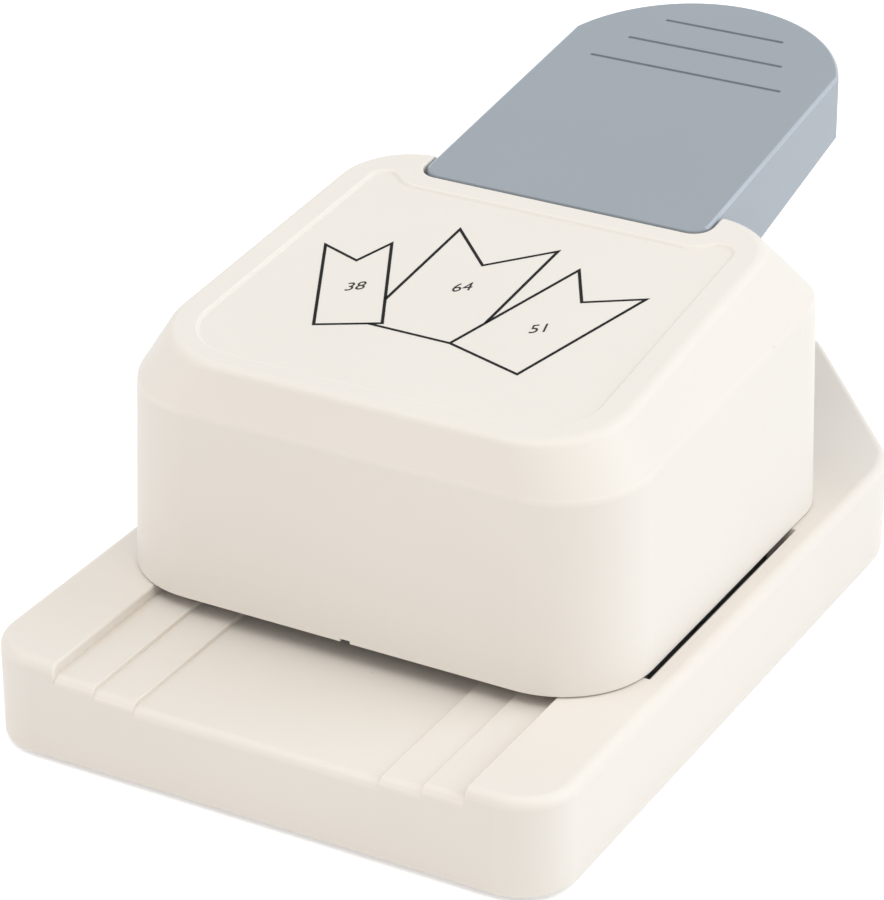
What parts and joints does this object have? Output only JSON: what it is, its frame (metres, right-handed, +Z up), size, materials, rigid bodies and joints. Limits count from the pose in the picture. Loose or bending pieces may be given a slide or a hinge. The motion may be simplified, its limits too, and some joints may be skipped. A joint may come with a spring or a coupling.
{
  "type": "label punch",
  "caption": "Desk punch whose lever presses a V-shaped blade through a strip of paper or card, fed along a stepped channel, to give it a swallowtail end.",
  "frame": {"origin": "centre of the footprint's bounding box, on the table", "axes": "+Z up, +Y from the paper side to the lever's tip, +X to the right seen from the paper side"},
  "size_m": [0.0884, 0.1512, 0.0663],
  "materials": {
    "cream_plastic": "satin",
    "blue_grey_plastic": "satin",
    "dark_plastic": "matte",
    "rubber": "matte",
    "ground_steel": "ground",
    "black_steel": "black oxide",
    "zinc_steel": "zinc plated",
    "spring_steel": "drawn",
    "bronze": "sintered"
  },
  "bodies": {
    "base": {"axle_bracket_left": "black_steel", "axle_bracket_right": "black_steel", "axle_clip_left": "spring_steel", "axle_clip_right": "spring_steel", "base_shell": "cream_plastic", "bottom_plate": "dark_plastic", "bottom_screw_1": "zinc_steel", "bottom_screw_2": "zinc_steel", "bottom_screw_3": "zinc_steel", "bottom_screw_4": "zinc_steel", "bracket_screw_1": "zinc_steel", "bracket_screw_2": "zinc_steel", "bracket_screw_3": "zinc_steel", "bracket_screw_4": "zinc_steel", "die_plate": "ground_steel", "die_screw_1": "zinc_steel", "die_screw_2": "zinc_steel", "die_screw_3": "zinc_steel", "die_screw_4": "zinc_steel", "foot_1": "rubber", "foot_2": "rubber", "foot_3": "rubber", "foot_4": "rubber", "guide_plate": "black_steel", "guide_post_1": "ground_steel", "guide_post_2": "ground_steel", "head_screw_1": "zinc_steel", "head_screw_2": "zinc_steel", "head_screw_3": "zinc_steel", "head_screw_4": "zinc_steel", "head_shell": "cream_plastic", "lever_axle": "ground_steel", "post_clip_1": "spring_steel", "post_clip_2": "spring_steel", "return_spring_1": "spring_steel", "return_spring_2": "spring_steel", "spacer_frame": "black_steel"},
    "lever": {"lever": "blue_grey_plastic", "roller_pin": "zinc_steel"},
    "ram": {"blade_screw_1": "zinc_steel", "blade_screw_2": "zinc_steel", "guide_bush_1": "bronze", "guide_bush_2": "bronze", "punch_blade": "ground_steel", "ram_plate": "black_steel"},
    "roller": {"press_roller": "ground_steel"}
  },
  "joints": [
    {"name": "lever_press", "type": "hinge", "parent": "base", "child": "lever", "pos_m": [0, -0.0402, 0.03845], "axis": [-1, 0, 0], "range_deg": [0, 18], "stiffness_Nm_per_rad": 0.9, "springref_deg": -7.45},
    {"name": "ram_slide", "type": "slide", "parent": "base", "child": "ram", "axis": [0, 0, -1], "range_m": [0, 0.008], "stiffness_N_per_m": 480, "springref_m": -0.0042, "deforming": ["return_spring_1", "return_spring_2"]},
    {"name": "roller_spin", "type": "hinge", "parent": "lever", "child": "roller", "pos_m": [0, -0.01494, 0.04245], "axis": [-1, 0, 0], "range_deg": [-18, 0]}
  ],
  "couplings": [
    {"joint": "lever_press", "follows": "ram_slide", "rad_per_m": 39.27},
    {"joint": "roller_spin", "follows": "ram_slide", "rad_per_m": -39.27}
  ]
}
